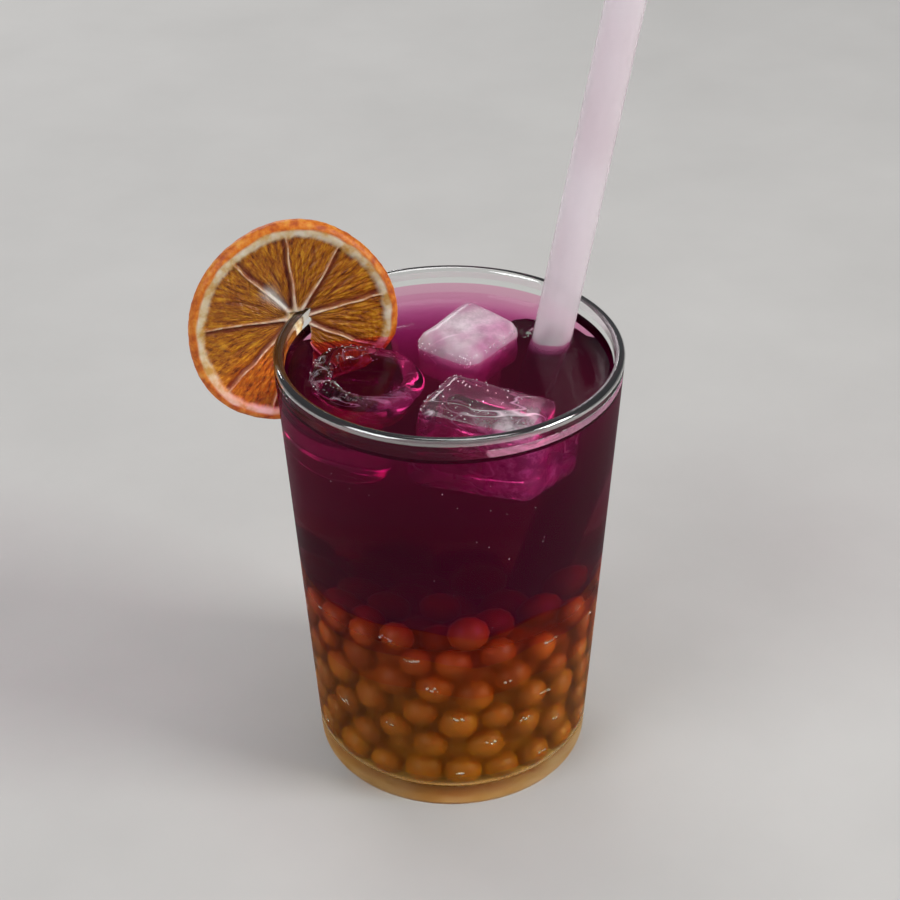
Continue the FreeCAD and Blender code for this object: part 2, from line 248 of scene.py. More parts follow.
def straight(start, end, margin, parts):
    # points along a run, with one close to each end so that smooth shading stays flat between
    length = math.dist(start, end)
    shares = [margin / length] + [step / parts for step in range(1, parts)] + [1 - margin / length]
    return [(start[0] + (end[0] - start[0]) * share, start[1] + (end[1] - start[1]) * share)
            for share in shares]


def applyModifiers(piece):
    # gives a piece the plain mesh that its modifiers make
    plain = bpy.data.meshes.new_from_object(piece.evaluated_get(bpy.context.evaluated_depsgraph_get()))
    piece.modifiers.clear()
    piece.data = plain


def cut(piece, *cutters):
    # takes the cutters' space out of a closed piece
    for cutter in cutters:
        modifier = piece.modifiers.new("cut", "BOOLEAN")
        modifier.operation = "DIFFERENCE"
        modifier.solver = "EXACT"
        modifier.object = cutter
    applyModifiers(piece)


def shrunk(piece, by):
    # a copy of a piece whose skin lies deeper, used only as a cutter
    copy = addObject(piece.name + "Cutter", piece.data.copy())
    normals = [v.normal.copy() for v in copy.data.vertices]
    for vertex, normal in zip(copy.data.vertices, normals):
        vertex.co -= normal * by
    return copy


def ease(low, high, value):
    # 0 below low, 1 above high and smooth between
    share = min(1.0, max(0.0, (value - low) / (high - low)))
    return share * share * (3 - 2 * share)


def discard(*pieces):
    for piece in pieces:
        bpy.data.objects.remove(piece)


# camera, room and lamps

camera = {"place": (0.0, -437.7 * mm, 372.3 * mm), "lookDown": 32.93, "roll": -0.58,   # degrees
          "lens": 82.93, "sensor": 36.0}
room = {
    "floorReach": 3.0,
    "floorColours": (paint(205, 203, 200), paint(212, 210, 207)),
    "sky": (0.93, 0.95, 1.0, 1.0),
    "skyOnObject": 0.16,          # how strongly the sky lights the object
    "skySeen": 0.32,              # its strength in the view and through glass
    "lampTarget": (0, 0, 0.06),
}
lamps = [
    # name, place, width, height, watts, colour
    ("key", (0.95, -0.30, 0.72), 0.40, 0.40, 8.2, (1.0, 0.99, 0.97)),
    ("fill", (-0.9, -0.7, 0.9), 0.7, 0.7, 7.1, (0.97, 0.98, 1.0)),
    ("back", (-0.53, 1.2, 0.62), 1.0, 0.34, 5.6, (1.0, 1.0, 1.0)),
    ("top", (0.15, 0.1, 1.5), 0.9, 0.5, 3.4, (1.0, 1.0, 1.0)),
]

def addCamera():
    data = bpy.data.cameras.new("camera")
    data.lens = camera["lens"]
    data.sensor_width = camera["sensor"]
    viewer = addObject("camera", data)
    turn = Matrix.Rotation(math.radians(90 - camera["lookDown"]), 4, "X")
    roll = Matrix.Rotation(math.radians(camera["roll"]), 4, "Z")
    viewer.matrix_world = Matrix.Translation(camera["place"]) @ turn @ roll
    scene.camera = viewer


def addSky():
    # the view and what is seen through glass get a pale background, and the object a dim sky
    world = bpy.data.worlds.new("room")
    world.use_nodes = True
    sky = world.node_tree.nodes["Background"]
    sky.inputs["Color"].default_value = room["sky"]
    nodes, link = world.node_tree.nodes, world.node_tree.links.new
    path, seen, level = (nodes.new("ShaderNode" + kind) for kind in ("LightPath", "Math", "MapRange"))
    seen.operation = "MAXIMUM"
    link(path.outputs["Is Camera Ray"], seen.inputs[0])
    link(path.outputs["Is Transmission Ray"], seen.inputs[1])
    link(seen.outputs[0], level.inputs["Value"])
    level.inputs["To Min"].default_value = room["skyOnObject"]
    level.inputs["To Max"].default_value = room["skySeen"]
    link(level.outputs[0], sky.inputs["Strength"])
    scene.world = world


def addFloor():
    finish = Finish("floorPlaster")
    pale, paler = room["floorColours"]
    colour = finish.ramp(finish.noise(14.0, 5.0), [(0.3, pale), (0.7, paler)])
    shader = finish.principled({"Base Color": colour, "Roughness": 0.75})
    finish.surface(shader)
    reach = room["floorReach"]
    corners = [(-reach, -reach, 0), (reach, -reach, 0), (reach, reach, 0), (-reach, reach, 0)]
    floor = meshPiece("floor", corners, [(0, 1, 2, 3)], finish.material)


def addLamps():
    target = Vector(room["lampTarget"])
    for name, place, width, height, watts, colour in lamps:
        data = bpy.data.lights.new(name, "AREA")
        data.shape = "RECTANGLE"
        data.size = width
        data.size_y = height
        data.energy = watts
        data.color = colour
        lamp = addObject(name, data)
        lamp.location = place
        lamp.rotation_euler = (target - Vector(place)).to_track_quat("-Z", "Y").to_euler()


addCamera()
addSky()
addFloor()
addLamps()
print("camera, room and lamps done")


# tumbler

tumbler = {
    "height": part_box("glass")[1].z,
    "rim": 43.0 * mm,
    "foot": 35.4 * mm,
    "wall": 2.5 * mm,
    "base": 6.0 * mm,
    "heel": 4.0 * mm,
    "footLift": 0.05 * mm,   # keeps the underside apart from the table's own plane
    "corner": 5.0 * mm,
    "lip": 0.49,             # share of the wall that each side of the lip is rounded by
    "segments": 192,
    "wetTo": 114.8 * mm,     # the drink wets the wall up to here
    "rimPart": 1.1,          # how far the rim's own finish reaches down, in walls
    "bends": 1.5,            # IOR of the glass
    "bendsWet": 1.128,       # IOR of glass against water
    "shine": 0.14,           # share of its reflection that the side keeps
    "dull": 0.34,            # roughness of the wet wall beside the pearls
    "dullUpTo": (50.0 * mm, 72.0 * mm),     # heights between which that fades out
    "lampsPass": (0.94, 0.95, 0.945, 1.0),
}
taper = math.atan2(tumbler["rim"] - tumbler["foot"], tumbler["height"])


def outside(height):
    return tumbler["foot"] + (tumbler["rim"] - tumbler["foot"]) * height / tumbler["height"]


def inside(height):
    return outside(height) - tumbler["wall"]


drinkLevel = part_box("tea_in_straw")[1].z


def bowlCorner(grown):
    # the bowl's rounded lower corner, moved outwards and down by "grown"
    radius = tumbler["corner"]
    height = tumbler["base"] + radius
    centre = (inside(height) - radius / math.cos(taper) + grown, height - grown)
    return arc(centre, radius, -90, -math.degrees(taper), 10)


def glassFinishes():
    side = Finish("clearGlass")
    shader = side.clearGlass((0.975, 0.99, 0.982, 1.0), tumbler["bends"], tumbler["shine"])
    side.surface(shader, tumbler["lampsPass"])
    # where the drink touches it, the wall bends light only by the ratio of glass to water
    wet = Finish("wetGlass")
    dull = wet.between(wet.height(), *tumbler["dullUpTo"], tumbler["dull"], 0.0)
    shader = wet.principled({
        "Base Color": white, "Roughness": dull, "IOR": tumbler["bendsWet"], "Transmission Weight": 1.0})
    wet.surface(shader, white)
    # the free rim shines more than the side, which shows the dark drink behind it
    rim = Finish("rimGlass")
    shader = rim.principled({
        "Base Color": (0.98, 0.99, 0.985, 1.0), "Roughness": 0.0, "IOR": tumbler["bends"],
        "Transmission Weight": 1.0, "Coat Weight": 1.0, "Coat IOR": 2.3, "Coat Roughness": 0.1})
    rim.surface(shader, tumbler["lampsPass"])
    # the foot lies flat on the table, so its underside shows no mirror: it is an opaque disc in amber and
    # pale tones, a painted view of the table lit amber through the pearls
    foot = Finish("footOnTable")
    cloud = foot.ramp(foot.noise(60.0, 2.0), [(0.35, paint(206, 154, 84)), (0.65, paint(222, 184, 130))])
    foot.surface(foot.principled({"Base Color": cloud, "Roughness": 0.4}))
    return [finish.material for finish in (side, wet, rim, foot)]


def addTumbler():
    tilt = math.degrees(taper)
    heel = tumbler["heel"]
    heelArc = arc((outside(heel) - heel / math.cos(taper), heel), heel, -90, -tilt, 10)
    lip = tumbler["wall"] * tumbler["lip"]
    high = tumbler["height"] - lip
    outerLip = arc((outside(high) - lip / math.cos(taper), high), lip, -tilt, 90, 9)
    innerLip = arc((inside(high) + lip / math.cos(taper), high), lip, 90, 180 - tilt, 9)
    corner = bowlCorner(0)[::-1]
    margin, lift = 0.4 * mm, tumbler["footLift"]
    profile = [(0, lift)] + straight((0, lift), (heelArc[0][0] - 0.6 * mm, lift), margin, 4) + heelArc
    profile += straight(heelArc[-1], outerLip[0], margin, 12) + outerLip + innerLip
    wetEdge = (inside(tumbler["wetTo"]), tumbler["wetTo"])
    profile += straight(innerLip[-1], wetEdge, margin, 2) + [wetEdge]
    profile += straight(wetEdge, corner[0], margin, 12) + corner
    profile += straight(corner[-1], (0, tumbler["base"]), margin, 4) + [(0, tumbler["base"])]
    side, *others = glassFinishes()
    piece = turned("tumbler", profile, tumbler["segments"], side)
    for material in others:
        piece.data.materials.append(material)
    wet, rim, foot = 1, 2, 3     # their places in the piece's list of materials
    for face in piece.data.polygons:
        middle = face.center
        inner = math.hypot(middle.x, middle.y) < inside(middle.z) + 0.2 * tumbler["wall"]
        if inner and tumbler["base"] * 0.5 < middle.z < tumbler["wetTo"]:
            face.material_index = wet
        elif middle.z > tumbler["height"] - tumbler["rimPart"] * tumbler["wall"]:
            face.material_index = rim
        # the underside gets the opaque finish that carries the painted view of the lit table
        elif middle.z < 1.2 * lift:
            face.material_index = foot
    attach(piece, "root")
    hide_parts("glass")


addTumbler()
print("tumbler done")


# places that the drink, the ice and the pearls share

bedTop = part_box("pearls")[1].z


def strawAxis():
    # middle, direction and half length of the straw, from the two end rings of its node
    points = np.array([v.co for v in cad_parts["straw"].data.vertices])
    unique = np.unique(points.round(6), axis=0)
    middle = (unique.max(0) + unique.min(0)) / 2
    direction = np.linalg.svd(unique - unique.mean(0))[2][0]
    direction = direction * np.sign(direction[2])
    reach = (unique - middle) @ direction
    return Vector(middle), Vector(direction), float(reach.max())


strawMiddle, strawAlong, strawHalf = strawAxis()
strawSize = {"radius": 5.0 * mm, "wall": 1.2 * mm, "soft": 0.35 * mm, "segments": 96}


def fromStraw(point):
    # distance of a point from the straw's axis
    offset = Vector(point) - strawMiddle
    return (offset - strawAlong * offset.dot(strawAlong)).length


# ice

# sizes in millimetres; turn: degrees about the upright, then tipped about X and Y
# frost: the least and the most share of it, scale of its hairs, middle and reach of its heart
blocks = {
    "ice_back": {"size": (23.0, 19.0, 23.0), "rounding": 4.5, "turn": (52.0, 5.0, -3.0), "seed": 3.0,
                 "frost": (0.5, 1.0, 45.0, (7, 20, 116), 17)},
    "ice_front": {"size": (30.0, 21.0, 18.0), "rounding": 3.6, "turn": (-24.5, -3.0, 3.0), "seed": 11.0,
                  "frost": (0.05, 1.0, 85.0, (18, -29, 98), 23)},
}
roundIce = {"top": 14.5, "low": 12.6, "depth": 19.0, "hollow": 8.6, "hollowDepth": 11.0, "rounding": 2.6,
            "turn": (20.0, 5.0, 9.0), "seed": 23.0, "frost": (0.0, 0.3, 90.0, (-14, -9, 106), 12),
            "segments": 72}
melting = {"cells": 26, "broad": 0.55, "fine": 0.12, "lost": 0.3, "round": 0.7}
iceBends = 1.31    # IOR


def tipped(turn):
    yaw, aboutX, aboutY = (math.radians(angle) for angle in turn)
    return Matrix.Rotation(yaw, 4, "Z") @ Matrix.Rotation(aboutX, 4, "X") @ Matrix.Rotation(aboutY, 4, "Y")


def middleOf(node):
    low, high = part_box(node)
    return (low + high) / 2


def iceFinish(name, clear, cloudy, scale, heart, reach):
    finish = Finish(name)
    melt = finish.noise(130.0, 3.0)
    offset = finish.take("VectorMath", "Value", {"operation": "DISTANCE"},
                         {0: finish.place(), 1: tuple(level * mm for level in heart)})
    cloud = finish.between(offset, 0.2 * reach * mm, reach * mm, 1.0, 0.0)
    drawn = finish.take("Mapping", 0, None, {
        "Vector": finish.place(), "Rotation": (0.0, 0.4, 0.5), "Scale": (0.35, 1.0, 1.0)})
    hair = finish.maths("ABSOLUTE", finish.noise(scale, 2.0, 0.5, drawn) - 0.5, 0.0)
    hair = finish.between(hair, 0.0, 0.012, 1.0, 0.0)
    hair = hair * finish.between(finish.noise(scale * 0.6), 0.46, 0.56)
    feather = finish.between(finish.noise(scale * 2.2, 5.0, 0.7), 0.46, 0.66)
    frost = hair * 0.9 + cloud * (0.35 + feather)
    glass = finish.principled({
        "Base Color": (0.97, 0.975, 0.98, 1.0), "Roughness": finish.between(melt, 0.35, 0.75, 0.02, 0.14),
        "IOR": iceBends, "Transmission Weight": 1.0, "Normal": finish.bump(melt, 0.25, 0.6 * mm)})
    shade = finish.ramp(finish.noise(60.0, 2.0), [
        (0.4, paint(214, 160, 190)), (0.5, paint(232, 208, 220)), (0.62, paint(240, 234, 236))])
    milk = finish.principled({
        "Base Color": shade, "Roughness": 0.25, "IOR": iceBends, "Subsurface Weight": 0.6,
        "Subsurface Radius": (1.0, 0.7, 0.9), "Subsurface Scale": 5 * mm,
        "Normal": finish.bump(melt, 0.25, 0.6 * mm)})
    share = finish.between(frost, 0.05, 1.2, clear, cloudy)
    finish.surface(finish.mix(share, glass, milk), (0.8, 0.74, 0.78, 1.0))
    return finish.material


def block(name, spec, material):
    # a melted block: every point is pulled on to a rounded box, then made uneven
    half = Vector(spec["size"]) * 0.5 * mm
    rounding = spec["rounding"] * mm
    seed = Vector((spec["seed"], 0, 0))
    core = half - Vector((rounding, rounding, rounding))
    build = bmesh.new()
    bmesh.ops.create_cube(build, size=2.0)
    bmesh.ops.subdivide_edges(build, edges=build.edges, cuts=melting["cells"] - 1, use_grid_fill=True)
    for vertex in build.verts:
        raw = Vector(a * b for a, b in zip(vertex.co, half))
        inner = Vector(max(-c, min(c, r)) for c, r in zip(core, raw))
        out = raw - inner
        point = inner + (out.normalized() * rounding if out.length > 1e-9 else out)
        uneven = noise.noise(point * 90 + seed) * melting["broad"] * mm
        uneven += noise.noise(point * 260 + seed) * melting["fine"] * mm
        vertex.co = point + point.normalized() * (uneven - melting["lost"] * mm)
    mesh = meshFrom(build, name)
    mesh.transform(Matrix.Translation(spec["middle"]) @ tipped(spec["turn"]))
    mesh.materials.append(material)
    return addSmooth(name, mesh)


def thimble(name, spec, material):
    # round ice with a dimple in its wide end
    top, low, hollow = (spec[key] * mm for key in ("top", "low", "hollow"))
    depth, sunk, soft = (spec[key] * mm for key in ("depth", "hollowDepth", "rounding"))
    floor = depth - sunk
    profile = [(0, 0), (low * 0.5, 0)]
    profile += arc((low - soft, soft), soft, -90, 0, 6)
    profile += straight((low, soft), (top, depth - soft), 0.5 * mm, 5)
    profile += arc((top - soft, depth - soft), soft, 0, 90, 6)
    profile += arc((hollow + soft, depth - soft), soft, 90, 180, 6)
    profile += [(hollow * 0.92, depth - sunk * 0.55), (hollow * 0.8, depth - sunk * 0.85),
                (hollow * 0.5, floor + 0.3 * mm), (0, floor)]

    def uneven(point):
        seed = Vector((spec["seed"], 0, 0))
        shift = noise.noise(point * 110 + seed) * melting["round"] * mm
        flat = Vector((point.x, point.y, 0))
        return point + (flat.normalized() * shift if flat.length > 1e-9 else Vector())

    piece = turned(name, profile, spec["segments"], material, uneven)
    piece.data.transform(Matrix.Translation(spec["foot"]) @ tipped(spec["turn"]))
    return piece


def addIce():
    pieces = []
    for node, spec in blocks.items():
        name = node.replace("_", "")
        spec["middle"] = middleOf(node)
        piece = block(name, spec, iceFinish(name + "Frost", *spec["frost"]))
        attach(piece, "root")
        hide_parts(node)
        pieces.append(piece)
    axis = tipped(roundIce["turn"]).to_3x3() @ Vector((0, 0, 1))
    roundIce["foot"] = middleOf("ice_round") - axis * roundIce["depth"] * mm / 2
    piece = thimble("iceround", roundIce, iceFinish("iceroundFrost", *roundIce["frost"]))
    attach(piece, "root")
    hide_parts("ice_round")
    pieces.append(piece)
    return pieces


icePieces = addIce()
print("ice done")


# drink

drink = {
    "intoWall": 0.15 * mm,       # how far it lies in the glass, so that no air shows between them
    "meniscus": 4.7 * mm,        # how high the film of drink climbs the wall
    "climb": 1.2 * mm,           # over what distance it does so
    "filmRings": [0.15, 0.4, 0.8, 1.4, 2.2, 3.4, 5.0, 7.0],   # of its mesh, mm off the wall
    "besideStraw": (0.9 * mm, 0.8 * mm),     # rise of the film there and its reach
    "besideIce": 0.12 * mm,      # how far it lies in the ice
    "bends": 1.33,               # IOR
    "shine": 0.5,                # share of its reflection that the surface keeps
    "segments": 144,
    "bodies": [
        # name, from and to height in the middle, colour let through, its density, haze, its density, tint
        ("teaAmber", None, 30.0 * mm, (0.86, 0.55, 0.0, 1.0), 60.0, (1.0, 0.42, 0.02, 1.0), 30.0,
         (1.0, 0.95, 0.72, 1.0)),
        ("teaRosy", 30.1 * mm, 40.0 * mm, (0.80, 0.26, 0.0, 1.0), 66.0, (1.0, 0.26, 0.01, 1.0), 36.0,
         (1.0, 0.86, 0.66, 1.0)),
        ("teaPlum", 40.1 * mm, 49.0 * mm, (0.80, 0.18, 0.05, 1.0), 92.0, (1.0, 0.15, 0.02, 1.0), 28.0,
         (1.0, 0.80, 0.75, 1.0)),
        ("teaPurple", 49.1 * mm, None, (0.77, 0.0, 0.57, 1.0), 150.0, (1.0, 0.0, 0.42, 1.0), 13.5,
         (0.97, 0.74, 0.84, 1.0)),
    ],
    "borderRise": 10.0 * mm,     # how much higher the borders lie at the wall
    "borderWaves": 2.2 * mm,
}


def drinkProfile(low, high):
    # from the middle of the underside, up the side and back to the middle of the top
    reach = drink["intoWall"]
    if low is None:
        corner = bowlCorner(reach)
        profile = [(0, corner[0][1])] + straight((0, corner[0][1]), corner[0], 0.4 * mm, 3) + corner
    else:
        edge = inside(low) + reach
        profile = [(edge * step / 20, low) for step in range(20 + 1)]
    climb, top, rings = 0.0, high, []
    if high is None:
        climb, top, rings = drink["meniscus"], drinkLevel, drink["filmRings"]
    edge = inside(top + climb) + reach
    profile += straight(profile[-1], (edge, top + climb), 0.3 * mm, 8) + [(edge, top + climb)]
    for ring in rings:
        profile.append((edge - ring * mm, top + climb * math.exp(-ring * mm / drink["climb"])))
    last = edge - rings[-1] * mm if rings else edge
    return profile + [(last * count / 24, top) for count in range(23, -1, -1)]


def border(point):
    # how far the border between two bodies of drink lies above its height in the middle
    share = math.hypot(point.x, point.y) / inside(50 * mm)
    swirl = noise.noise(Vector((point.x, point.y, 0)) * 55)
    swirl += 0.4 * noise.noise(Vector((point.y, point.x, 0)) * 130)
    return drink["borderRise"] * share ** 2 + drink["borderWaves"] * swirl


def settle(low, high):
    # moves the points of one body so that its borders rise and wave as its neighbour's do
    bottom = tumbler["base"] if low is None else low
    top = drinkLevel if high is None else high
    rise, reach = drink["besideStraw"]

    def move(point):
        if high is None and point.z > drinkLevel - 0.01 * mm:
            near = abs(fromStraw(point) - strawSize["radius"])
            return point + Vector((0, 0, rise * math.exp(-near / reach)))
        share = (point.z - bottom) / (top - bottom)
        shift = (0 if low is None else 1 - share) + (0 if high is None else share)
        return point + Vector((0, 0, border(point) * min(1, max(0, shift))))

    return move


def fitToWall(piece):
    # the side of a body follows the tapered wall after its borders have moved
    for vertex in piece.data.vertices:
        reach = math.hypot(vertex.co.x, vertex.co.y)
        limit = inside(vertex.co.z) + drink["intoWall"]
        onSide = tumbler["base"] + tumbler["corner"] < vertex.co.z < drinkLevel - 1.0 * mm
        if onSide and reach > limit - 0.9 * mm:
            vertex.co.x *= limit / reach
            vertex.co.y *= limit / reach


def addDrink():
    cutters = [shrunk(piece, drink["besideIce"]) for piece in icePieces]
    pieces = []
    for name, low, high, colour, density, haze, hazeDensity, tint in drink["bodies"]:
        finish = Finish(name + "Liquid")
        finish.surface(finish.take("BsdfTransparent", 0, None, {"Color": tint}))
        finish.fill(colour, density, haze, hazeDensity)
        profile, move = drinkProfile(low, high), settle(low, high)
        piece = turned(name, profile, drink["segments"], finish.material, move)
        fitToWall(piece)
        if high is None:
            cut(piece, *cutters)
        pieces.append(piece)
    discard(*cutters)
    pieces.append(addSurface(pieces[-1]))
    for piece in pieces:
        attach(piece, "root")
    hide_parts("tea", "tea_in_straw")


def addSurface(body):
    # the shining top of the drink: a sheet just above the upper faces of its body
    finish = Finish("teaShine")
    shader = finish.clearGlass(paint(250, 225, 240), drink["bends"], drink["shine"])
    finish.surface(shader, (0.97, 0.93, 0.96, 1.0))
    build = bmesh.new()
    build.from_mesh(body.data)
    build.normal_update()
    other = [face for face in build.faces
             if face.normal.z < 0.4 or face.calc_center_median().z < drinkLevel - 0.05 * mm]
    bmesh.ops.delete(build, geom=other, context="FACES")
    for vertex in build.verts:
        vertex.co.z += 0.02 * mm
    mesh = meshFrom(build, "teaSurface")
    mesh.materials.clear()
    mesh.materials.append(finish.material)
    return addSmooth("teaSurface", mesh)


addDrink()
print("drink done")


# pearls

pearls = {
    "count": 262,
    "radius": 4.7 * mm,
    "spread": 0.12,            # share that the radius varies by
    "seed": 8,
    "steps": 260,              # of their fall
    "rounds": 5,               # of pushing apart in each step
    "dropReach": 0.028,        # they start in a column of this radius and height
    "dropHeight": 0.075,
    "smoothness": 2,
    "cover": 6.0 * mm,         # how deep the core lies behind the glass
    "coreTop": bedTop - 11.0 * mm,
    # the high set is painted darker and redder than the low one: painted shade
    "colours": ((paint(132, 71, 1), paint(152, 89, 3), paint(171, 108, 6)),      # low in the glass
                (paint(124, 51, 1), paint(143, 66, 2), paint(162, 82, 3))),      # and high
}


def pearlCentres():
    # pearls dropped into the bowl and pushed apart until they lie on each other
    draw = np.random.default_rng(pearls["seed"])
    count = pearls["count"]
    radius = pearls["radius"] * (1 + pearls["spread"] * draw.uniform(-1, 1, count))
    angle = draw.uniform(0, 2 * math.pi, count)
    reach = pearls["dropReach"] * np.sqrt(draw.uniform(0, 1, count))
    place = np.stack([reach * np.cos(angle), reach * np.sin(angle),
                      tumbler["base"] + 0.005 + pearls["dropHeight"] * np.linspace(0, 1, count)], 1)
    along = np.array(strawAlong)
    middle = np.array(strawMiddle)
    touch = radius[:, None] + radius[None, :]
    slope = (tumbler["rim"] - tumbler["foot"]) / tumbler["height"]
    for step in range(pearls["steps"]):
        fall = 0.5 * mm * max(0.08, 1 - step / (pearls["steps"] * 0.7))
        place[:, 2] -= fall
        for again in range(pearls["rounds"]):
            offset = place[:, None, :] - place[None, :, :]
            far = np.sqrt((offset ** 2).sum(2)) + np.eye(count)
            overlap = np.clip(touch - far, 0, None) * (1 - np.eye(count))
            place += 0.5 * (offset / far[:, :, None] * overlap[:, :, None]).sum(1)
            out = place - middle
            side = out - np.outer(out @ along, along)
            clear = np.sqrt((side ** 2).sum(1))
            push = np.clip(strawSize["radius"] + radius - clear, 0, None)
            place += side / clear[:, None] * push[:, None]
            flat = np.sqrt((place[:, :2] ** 2).sum(1)) + 1e-9
            limit = tumbler["foot"] - tumbler["wall"] + slope * place[:, 2] - radius - 0.1 * mm
            corner = np.clip(tumbler["base"] + tumbler["corner"] - place[:, 2], 0, None) * 0.15
            shrink = np.minimum(1, (limit - corner) / flat)
            place[:, :2] *= shrink[:, None]
            place[:, 2] = np.maximum(place[:, 2], tumbler["base"] + radius)
    keep = place[:, 2] + radius < bedTop + 1.5 * mm
    deep = limit + radius - pearls["cover"] - 3.0 * mm
    hidden = (flat + radius < deep) & (place[:, 2] + radius < pearls["coreTop"] - 2.0 * mm)
    keep &= ~hidden
    return place[keep], radius[keep]


def pearlTree(material):
    # turned balls on points, each as large as its point's "radius" says
    tree = bpy.data.node_groups.new("pearlHeap", "GeometryNodeTree")
    tree.interface.new_socket("Geometry", in_out="INPUT", socket_type="NodeSocketGeometry")
    smoothness = tree.interface.new_socket("Smoothness", in_out="INPUT", socket_type="NodeSocketInt")
    tree.interface.new_socket("Geometry", in_out="OUTPUT", socket_type="NodeSocketGeometry")
    add = tree.nodes.new
    start, end = add("NodeGroupInput"), add("NodeGroupOutput")
    ball = add("GeometryNodeMeshIcoSphere")
    size = add("GeometryNodeInputNamedAttribute")
    size.inputs["Name"].default_value = "radius"
    turn = add("FunctionNodeRandomValue")
    turn.data_type = "FLOAT_VECTOR"
    turn.inputs["Max"].default_value = (6.28, 6.28, 6.28)
    turn.inputs["Seed"].default_value = 4
    onPoints = add("GeometryNodeInstanceOnPoints")
    smooth = add("GeometryNodeSetShadeSmooth")
    real = add("GeometryNodeRealizeInstances")
    dress = add("GeometryNodeSetMaterial")
    dress.inputs["Material"].default_value = material
    for source, output, target, socket in (
            (start, "Smoothness", ball, "Subdivisions"),
            (start, "Geometry", onPoints, "Points"),
            (ball, "Mesh", onPoints, "Instance"),
            (size, "Attribute", onPoints, "Scale"),
            (turn, 0, onPoints, "Rotation"),
            (onPoints, "Instances", real, "Geometry"),
            (real, "Geometry", smooth, "Geometry"),
            (smooth, "Geometry", dress, "Geometry"),
            (dress, "Geometry", end, "Geometry")):
        tree.links.new(source.outputs[output], target.inputs[socket])
    return tree, smoothness.identifier


def spheresAt(name, places, radii, material, smoothness):
    # one ball of the given radius at each place, as one plain mesh
    points = bpy.data.meshes.new(name + "Points")
    points.from_pydata([tuple(place) for place in places], [], [])
    size = points.attributes.new("radius", "FLOAT", "POINT")
    size.data.foreach_set("value", [float(radius) for radius in radii])
    piece = addObject(name, points)
    modifier = piece.modifiers.new("balls", "NODES")
    tree, identifier = pearlTree(material)
    modifier.node_group = tree
    modifier[identifier] = smoothness
    applyModifiers(piece)
    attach(piece, "root")
    return piece


def addPearls():
    finish = Finish("amberTapioca")
    cloud = finish.noise(95.0, 2.0)
    height = finish.height()
    low, high = (finish.ramp(cloud, list(zip((0.3, 0.5, 0.72), colours))) for colours in pearls["colours"])
    # higher up the pearls take the darker, redder set: painted shade, not a change in the pearls themselves
    colour = finish.blend(finish.between(height, 14 * mm, 44 * mm), low, high)
    shader = finish.principled({
        "Base Color": colour, "Roughness": 0.45, "IOR": 1.36, "Subsurface Weight": 1.0,
        "Subsurface Radius": (1.0, 0.45, 0.08), "Subsurface Scale": 4.5 * mm})
    finish.surface(shader, (0.80, 0.50, 0.10, 1.0))
    places, radii = pearlCentres()
    piece = spheresAt("tapiocaPearls", places, radii, finish.material, pearls["smoothness"])
    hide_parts("pearls")
    low, high, soft = tumbler["base"] + 2.5 * mm, pearls["coreTop"], 5.0 * mm
    side = [(inside(level) - pearls["cover"], level) for level in (low + soft, high - soft)]
    profile = [(0, low)] + arc((side[0][0] - soft, low + soft), soft, -90, 0, 5)
    profile += arc((side[1][0] - soft, high - soft), soft, 0, 90, 5) + [(0, high)]
    core = turned("pearlCore", profile, 64, finish.material)
    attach(core, "root")
    print("pearls:", len(radii), "top", round(float((places[:, 2] + radii).max()) / mm, 1))
    return places, radii


pearlPlaces, pearlRadii = addPearls()
print("pearls done")


# bubbles

bubbles = {"onPearls": 48, "onWall": 90, "onIce": 420, "seed": 12, "smoothness": 1}


def addBubbles():
    finish = Finish("airBubble")
    shader = finish.principled({
        "Base Color": (0.9, 0.85, 0.88, 1.0), "Roughness": 0.08, "IOR": 2.2, "Transmission Weight": 0.7,
        "Coat Weight": 1.0, "Coat IOR": 2.0})
    finish.surface(shader, (0.95, 0.95, 0.95, 1.0))
    draw = np.random.default_rng(bubbles["seed"])
    places, radii = [], []

    def onWall(side, level, radius):
        away = inside(level) - 0.2 * radius
        places.append(polar(away, side, level))
        radii.append(radius)

    # short rows of bubbles caught on pearls that lie against the glass
    reach = np.hypot(pearlPlaces[:, 0], pearlPlaces[:, 1])
    beside = [k for k in range(len(reach))
              if inside(pearlPlaces[k, 2]) - reach[k] - pearlRadii[k] < 1.2 * mm]
    for pick in draw.permutation(beside)[:bubbles["onPearls"]]:
        heading = math.atan2(pearlPlaces[pick, 1], pearlPlaces[pick, 0]) + draw.normal(0, 0.05)
        height = pearlPlaces[pick, 2] + pearlRadii[pick] * draw.uniform(0.2, 0.75)
        for count in range(draw.integers(3, 8)):
            radius = draw.uniform(0.22, 0.52) * mm
            level = height + draw.normal(0, 0.28) * mm
            side = heading + (count - 2.5) * 0.017 + draw.normal(0, 0.004)
            onWall(side, level, radius)
    # lone bubbles on the wall above the pearls
    for count in range(bubbles["onWall"]):
        side, level = draw.uniform(0, 2 * math.pi), draw.uniform(60, 108) * mm
        onWall(side, level, draw.uniform(0.08, 0.22) * mm)
    # fine beads where the ice meets the drink
    for count in range(bubbles["onIce"]):
        piece = icePieces[draw.integers(0, len(icePieces))]
        points = piece.data.vertices
        tried = [points[int(k)] for k in draw.integers(0, len(points), 60)]
        near = [v for v in tried if abs(v.co.z - drinkLevel) < 2.2 * mm]
        if near:
            vertex = near[0]
            radius = draw.uniform(0.10, 0.26) * mm
            places.append(tuple(vertex.co + vertex.normal * radius * 0.6))
            radii.append(radius)
    piece = spheresAt("bubbles", places, radii, finish.material, bubbles["smoothness"])
    print("bubbles:", len(radii))


addBubbles()
print("bubbles done")


# straw

